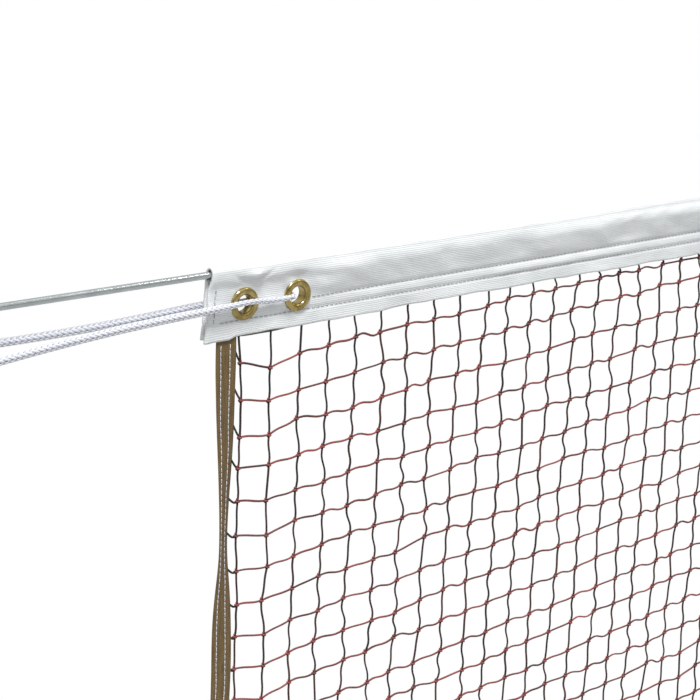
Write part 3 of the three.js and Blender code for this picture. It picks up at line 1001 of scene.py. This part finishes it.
def band_threads():
    pieces = []
    for row, z in BAND_ROWS.items():
        start = UPPER_ROW_START if row == "upper" else HEM + 0.0004
        for thread, facing in {"needle": -1, "bobbin": 1}.items():
            parts = [band_stitch_row(z, start, facing)]
            if row == "lower":
                parts += [end_stitch_row(side, facing) for side in SIDES.values()]
            node = f"headband_{row}_{thread}_thread"
            points, quads = joined(parts)
            # Painted shade: the headband's threads are greyed to stand for the shade in their
            # grooves.
            groove_shade = {"groove_shade": np.full(len(points), BAND_THREAD_SHADE)}
            piece = mesh_object(f"{node}_stitches", points, quads, THREAD, groove_shade)
            pieces.append(placed(piece, "headband", node))
    return pieces


# ---- Grommets -------------------------------------------------------------------------
def round_points(centre, radius, start, end, steps):
    """Points along an arc of a (radius, height) outline, with angles in degrees."""
    angle = np.radians(np.linspace(start, end, steps))
    return [(centre[0] + radius * math.cos(a), centre[1] + radius * math.sin(a)) for a in angle]


def brass_ring(node, outline, axis):
    low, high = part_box(node)
    centre = np.array((low + high) / 2)
    centre[1] = 0
    piece = mesh_object(f"{node}_brass", *turned(outline, centre, axis, 72), BRASS)
    return placed(piece, "headband", node)


def grommet(node):
    """A rolled rim on the front, whose barrel is spread over the washer on the back."""
    face = BAND_HALF_THICKNESS + 0.0001
    crown = RIM_THICKNESS + 0.0003
    hole = GROMMET_BARREL - 0.0006
    back = BAND_HALF_THICKNESS + 0.0012
    rim_middle = (hole + GROMMET_RIM) / 2 + 0.0001
    half_rim = (GROMMET_RIM - hole) / 2
    rolled = np.radians(np.linspace(0, 180, 17))
    rim = [
        (rim_middle + half_rim * math.cos(a), face - 0.0004 + crown * math.sin(a) ** 0.8)
        for a in rolled
    ]
    spread = round_points((hole + 0.0013, -back), 0.0013, 180, 360, 9)
    inside = [(hole + 0.0026 - 0.0005, -back + 0.0001), (GROMMET_BARREL, -back + 0.0004)]
    under = [(GROMMET_BARREL, face - 0.0006), (GROMMET_RIM - 0.0004, face - 0.0006)]
    return brass_ring(node, [*rim, *spread, *inside, *under], (0, -1, 0))


def washer(node):
    """A flat ring with a rounded edge."""
    face, thickness = BAND_HALF_THICKNESS + 0.0001, 0.0007
    edge = round_points((GROMMET_RIM - 0.0004, face + thickness / 2), 0.00035, -90, 90, 7)
    inner = GROMMET_BARREL + 0.0002
    return brass_ring(node, [(inner, face), *edge, (inner, face + thickness)], (0, 1, 0))


band, band_width = headband()
band_pieces = band_threads()
for end_name in SIDES:
    for ring_place in GROMMETS:
        band_pieces.append(grommet(f"{end_name}_{ring_place}_grommet"))
        band_pieces.append(washer(f"{end_name}_{ring_place}_washer"))


# ---- Netting --------------------------------------------------------------------------
COLUMNS = 319
ROWS = 38
FIRST_COLUMN = 0.01927
COLUMN_PITCH = (2 * HALF - 2 * FIRST_COLUMN) / (COLUMNS - 1)
ROW_PITCH = 0.01915
FIRST_ROW_Z = -0.05283
ROW_RISE = 0.001182  # each column's knots stand this much above the one before
END_COLUMN_RISE = {0: 0.0025, 1: -0.0015}  # the two columns beside each side tape stray
TOP_END_KNOTS = {0: 0.0016, 1: -0.0017}  # and so do the first one's two top knots
RISING_COLUMNS = 26
BAND_EDGE_Z = BAND_BOTTOM - 0.0004
SQUEEZE = 0.0034  # how close under the headband a row starts to be held down
TWINE_RADIUS = 0.0006
KNOT_TURN_RADIUS = 0.00085
TWINE_TOP = BAND_BOTTOM + 0.0035  # the twine ends between the tape's layers
TWINE_FOOT = NET_BOTTOM + 0.009  # and in the bottom tape
LAST_KNOT = NET_BOTTOM + 0.0155
FINE_COLUMNS = 24  # at each end
CHUNK = 46  # columns in a piece of the coarser netting
TAPE_INWARD = 0.003
TAPE_WIDTH = 0.012


def knot_places():
    """The knots' places as columns x rows x 3. The rows climb away from both ends, until the
    top one is held down along the headband's edge."""
    rng = np.random.default_rng(7)
    column = np.arange(COLUMNS)[:, None]
    row = np.arange(ROWS)[None, :]
    from_end = np.minimum(column, COLUMNS - 1 - column)
    climbed = from_end - 4 * np.log1p(np.exp((from_end - RISING_COLUMNS) / 4))
    z = FIRST_ROW_Z - ROW_PITCH * row + ROW_RISE * climbed
    below = BAND_EDGE_Z - z
    held = 0.5 * (below + np.sqrt(below**2 + 4 * SQUEEZE**2))
    z = BAND_EDGE_Z - held
    x = -HALF + FIRST_COLUMN + COLUMN_PITCH * column + 0 * row
    for place, rise in END_COLUMN_RISE.items():
        z = z + np.where(from_end == place, rise, 0)
    for place, rise in TOP_END_KNOTS.items():
        z = z + np.where((from_end == 0) & (row == place), rise, 0)
    x = x + rng.normal(0, 0.00105, x.shape) + 0.0009 * wander(z, 0.11, 1.7 + column)
    room = np.clip((BAND_EDGE_Z - z) / 0.012, 0.2, 1)
    z = z + room * rng.normal(0, 0.0008, z.shape) + room * 0.0007 * wander(x, 0.13, 2.9 * row)
    y = rng.normal(0, 0.0001, z.shape)
    return np.stack([x, y, z], -1)


def twine_curves(start, end, sway, swing, rings):
    """Twines from start to end that sway to one side and then to the other. sway is along the
    swing direction, for each twine."""
    t = np.linspace(0, 1, rings)[None, :, None]
    straight = mix(start[:, None], end[:, None], t)
    return straight + np.sin(TAU * t) * sway[:, None, None] * np.asarray(swing, float)


def knots(places, rings, sides):
    """One and a half turns of twine, tilted, round each crossing."""
    axis = unit(np.array((0.55, 0.0, 0.84)))
    level = np.array((0.84, 0.0, -0.55))
    t = np.linspace(0, 1, rings)
    angle = TAU * (1.5 * t + 0.1)
    coil = (
        KNOT_TURN_RADIUS * np.cos(angle)[:, None] * level
        + KNOT_TURN_RADIUS * np.sin(angle)[:, None] * np.array((0.0, 1.0, 0.0))
        + 2.5 * KNOT_TURN_RADIUS * (t - 0.5)[:, None] * axis
    )
    centres = places[:, None] + coil[None]
    return tubes(centres, TWINE_RADIUS * 1.05, sides, axis)


def netting_piece(name, places, first, last, fine):
    """The netting from one column to another, with the row twines that follow each column."""
    rng = np.random.default_rng(100 + first)
    rings, sides = (9, 6) if fine else (5, 4)
    columns = places[first:last]
    parts, warmths = [], []

    def add(part, warmth):
        parts.append(part)
        per_tube = len(part[0]) // len(warmth)
        warmths.append(np.repeat(warmth, per_tube))

    def add_twines(start, end, swing, sway, warmth):
        kept = np.maximum(start[:, 2], end[:, 2]) > LAST_KNOT
        start, end = start[kept].copy(), end[kept].copy()
        start[:, 2] = np.maximum(start[:, 2], TWINE_FOOT)
        end[:, 2] = np.maximum(end[:, 2], TWINE_FOOT)
        # The twine sways less near the side tapes.
        calm = mix(0.35, 1, smoothstep(0.02, 0.10, inward_of(start[:, 0])))
        amount = calm * rng.normal(sway, 0.00035, len(start))
        curves = twine_curves(start, end, amount, swing, rings)
        radius = TWINE_RADIUS * rng.normal(1, 0.05, (len(start), 1))
        shade = rng.normal(warmth, 0.12, len(start))
        add(tubes(curves, radius, sides, (0, 1, 0)), shade)

    top = columns[:, 0].copy()
    top[:, 0] += rng.normal(0, 0.0012, len(top)) - 0.0005
    top[:, 2] = TWINE_TOP
    add_twines(top, columns[:, 0], (1, 0, 0), -0.0006, 0.08)
    down_start, down_end = columns[:, :-1].reshape(-1, 3), columns[:, 1:].reshape(-1, 3)
    add_twines(down_start, down_end, (1, 0, 0), -0.0008, 0.22)
    nexts = places[first + 1 : min(last + 1, COLUMNS)]
    row_start = columns[: len(nexts)].reshape(-1, 3)
    add_twines(row_start, nexts.reshape(-1, 3), (0, 0, 1), 0.00065, 0.72)
    tied = columns.reshape(-1, 3)
    tied = tied[tied[:, 2] > LAST_KNOT]
    add(knots(tied, 11 if fine else 6, sides), rng.normal(0.95, 0.08, len(tied)))
    for side, column in ((-1, 0), (1, COLUMNS - 1)):
        if first <= column < last:
            ends = places[column][places[column][:, 2] > LAST_KNOT]
            add(tape_links(side, ends, rings, sides), rng.normal(0.12, 0.1, len(ends)))
    points, quads = joined(parts)
    piece = mesh_object(name, points, quads, TWINE, {"warmth": np.concatenate(warmths)})
    return hung(piece, "netting")


def tape_links(side, ends, rings, sides):
    """Short twines that leave the side tape a little above each end knot and dip to it."""
    climb = mix(0.0088, 0.0018, smoothstep(-0.09, -0.13, ends[:, 2]))
    start = side_tape_points(side, ends[:, 2] + climb, TAPE_WIDTH - 0.001, 0.0)
    t = np.linspace(0, 1, rings)[None, :, None]
    dip = -0.0019 * np.sin(math.pi * t) * np.array((0.35 * side, 0, 1.0))
    return tubes(mix(start[:, None], ends[:, None], t) + dip, TWINE_RADIUS, sides, (0, 1, 0))


def netting():
    places = knot_places()
    netting_piece("netting_left_end", places, 0, FINE_COLUMNS, True)
    netting_piece("netting_right_end", places, COLUMNS - FINE_COLUMNS, COLUMNS, True)
    firsts = range(FINE_COLUMNS, COLUMNS - FINE_COLUMNS, CHUNK)
    for number, first in enumerate(firsts, 1):
        last = min(first + CHUNK, COLUMNS - FINE_COLUMNS)
        netting_piece(f"netting_{number}", places, first, last, False)


# ---- Brown tapes ----------------------------------------------------------------------
TAPE_CLOTH = 0.0005
TAPE_HALF_GAP = 0.0006  # from the tape's middle plane to the middle of a layer
TAPE_ROWS = {"outer": 0.0021, "inner": 0.0079}  # from the tape's folded edge
TAPE_STITCHES = {"gap": 0.0002, "radius": 0.00023, "ease": 0.1}  # they almost touch
TAPE_TURN_Z = -0.147  # a side tape is turned most at this height
TAPE_TURN = math.radians(36)
TAPE_TURN_REACH = (0.060, 0.034)  # the turn fades over these lengths, above and below


def folded_section(width):
    """A tape folded in two, as (from the fold, off the middle plane) points."""
    front = [(d, -TAPE_HALF_GAP) for d in np.linspace(width, 0.0009, 13)]
    fold = [
        (0.0009 - 0.0009 * math.cos(a), TAPE_HALF_GAP * math.sin(a))
        for a in np.linspace(-math.pi / 2, math.pi / 2, 9)[1:-1]
    ]
    back = [(d, -y) for d, y in front[::-1]]
    return np.array(front + fold + back)


def side_tape_pose(z):
    """How a side tape is turned at each height, and how far its middle is moved inward."""
    reach = np.where(z > TAPE_TURN_Z, *TAPE_TURN_REACH)
    turn = TAPE_TURN * hill(z, TAPE_TURN_Z, reach) * smoothstep(NET_TOP, NET_TOP - 0.03, z)
    turn = turn + math.radians(7) * wander(z, 0.34, 1.1) * smoothstep(-0.16, -0.24, z)
    turn = turn * (1 - smoothstep(-0.71, -0.745, z))
    middle = TAPE_INWARD + TAPE_WIDTH / 2 + 0.0010 * smoothstep(-0.045, -0.11, z)
    middle = middle + 0.0008 * wander(z, 0.21, 0.7) * smoothstep(-0.16, -0.24, z)
    return turn, mix(middle, TAPE_INWARD + TAPE_WIDTH / 2, smoothstep(-0.71, -0.745, z))


def side_tape_points(side, z, from_fold, off):
    """Places on a side tape. z, from_fold and off broadcast together."""
    turn, middle = side_tape_pose(z)
    out = from_fold - TAPE_WIDTH / 2
    inward = middle + out * np.cos(turn) + off * np.sin(turn)
    # The two ends' tapes turn the same way round, as seen from above.
    y = -side * out * np.sin(turn) + off * np.cos(turn)
    return np.stack(np.broadcast_arrays(along(side, inward), y, z + 0 * inward), -1)


def bottom_tape_points(x, from_fold, off):
    """Places on the bottom tape, which broadcast in the same way."""
    y = off + 0.0006 * wander(x, 0.23, 0.3)
    z = NET_BOTTOM + from_fold + 0.0005 * wander(x, 0.4, 1.9)
    return np.stack(np.broadcast_arrays(x, y, z), -1)


def folded_tape(node, place, stations, lengthwise, holes, narrow=1.0, stray=0.0):
    """A tape folded in two, with its stitch rows. place gives its points at stations along
    it. narrow scales its thickness there, and stray is how far the rows wander."""
    section = folded_section(TAPE_WIDTH)
    grid = place(stations[None], section[:, :1], section[:, 1:] * narrow)
    points, quads, used = thick_grid(grid, TAPE_CLOTH)
    across = distance_along(section)
    values = {}
    for key, numbers in (("across", across[:, None]), ("lengthwise", lengthwise[None, :])):
        spread_out = np.broadcast_to(numbers, grid.shape[:2]).ravel()[used]
        values[key] = np.tile(spread_out, 2)
    tape = mesh_object(f"{node}_folded", points, quads, BROWN_TAPE, values)
    hung(tape, node)
    for row, offset in TAPE_ROWS.items():
        from_fold = offset + stray * wander(holes, 0.06, 9 * offset)
        parts = []
        for facing in (-1, 1):
            line = place(holes, from_fold, facing * (TAPE_HALF_GAP + TAPE_CLOTH / 2))
            parts.append(stitches(line, (0, facing, 0), **TAPE_STITCHES))
        thread = mesh_object(f"{node}_{row}_thread_stitches", *joined(parts), THREAD)
        hung(thread, f"{node}_{row}_thread")


def side_tape(name, side):
    z = np.arange(BAND_BOTTOM + 0.002, NET_BOTTOM, -0.003)
    narrow = mix(0.6, 1.0, smoothstep(NET_TOP + 0.001, NET_TOP - 0.006, z))
    holes = np.arange(NET_TOP - 0.001, NET_BOTTOM + 0.001, -STITCH)
    place = partial(side_tape_points, side)
    folded_tape(f"{name}_side_tape", place, z, -z, holes, narrow, stray=0.0003)


def bottom_tape():
    reach = HALF - (TAPE_INWARD + TAPE_WIDTH + 0.0003)
    x = np.linspace(-reach, reach, 700)
    holes = np.arange(x[0] + 0.001, x[-1] - 0.001, STITCH)
    folded_tape("bottom_tape", bottom_tape_points, x, x, holes)


netting()
for end_name, end_side in SIDES.items():
    side_tape(end_name, end_side)
bottom_tape()


# ---- Stage and light ------------------------------------------------------------------
FLOOR_Z = -1.53  # a net is hung with its top 1.55 m up
FLOOR_HALF = 60.0


def floor():
    """A pale floor. It fills the picture with plain white, and throws only a little light
    back up at the net."""
    s = Surface("pale_floor", Roughness=0.9)
    s.set("Base Color", s.ramp(s.noise(0.8), [(0.3, (0.33, 0.33, 0.33)), (0.7, (0.37, 0.37, 0.37))]))
    seen = s.node("ShaderNodeEmission", {"Color": (1, 1, 1, 1), "Strength": 1.0})
    s.show(s.shader, seen, "Material Output")
    corners = [(-1, -1), (1, -1), (1, 1), (-1, 1)]
    points = [(FLOOR_HALF * x, FLOOR_HALF * y, FLOOR_Z) for x, y in corners]
    mesh_object("floor", points, np.array([(0, 1, 2, 3)]), s.material)


def sun(name, direction, strength, spread):
    """A far, soft light that shines along a direction."""
    data = bpy.data.lights.new(name, "SUN")
    data.energy = strength
    data.angle = math.radians(spread)
    made = linked(name, data)
    made.rotation_mode = "QUATERNION"
    made.rotation_quaternion = Vector(direction).to_track_quat("-Z", "Y")


def world():
    """A white backdrop. What it lights and shines with is bright overhead and darker low
    down, as in a studio."""
    made = bpy.data.worlds.new("studio")
    bpy.context.scene.world = made
    made.use_nodes = True
    s = Nodes(made.node_tree)
    upward = s.node("ShaderNodeTexCoord").outputs["Generated"]
    height = s.node("ShaderNodeSeparateXYZ", {0: upward}).outputs["Z"]
    share = s.node("ShaderNodeMapRange", {"Value": height, "From Min": -1}).outputs["Result"]
    stops = [(0.4, (0.3, 0.3, 0.3)), (1.0, (0.95, 0.98, 1.0)), (0.62, (0.38, 0.38, 0.38))]
    shine = s.tree.nodes["Background"]
    s.link(s.ramp(share, stops), shine, "Color")
    shine.inputs["Strength"].default_value = 1.0
    white = s.node("ShaderNodeBackground", {"Color": (1, 1, 1, 1), "Strength": 1.0})
    s.show(shine, white, "World Output")


floor()
sun("key", (0.3, 0.38, -1.0), 2.9, 15)
sun("glint", (-0.62, 0.25, -0.74), 0.3, 8)
world()
bpy.context.scene.view_settings.view_transform = "Standard"
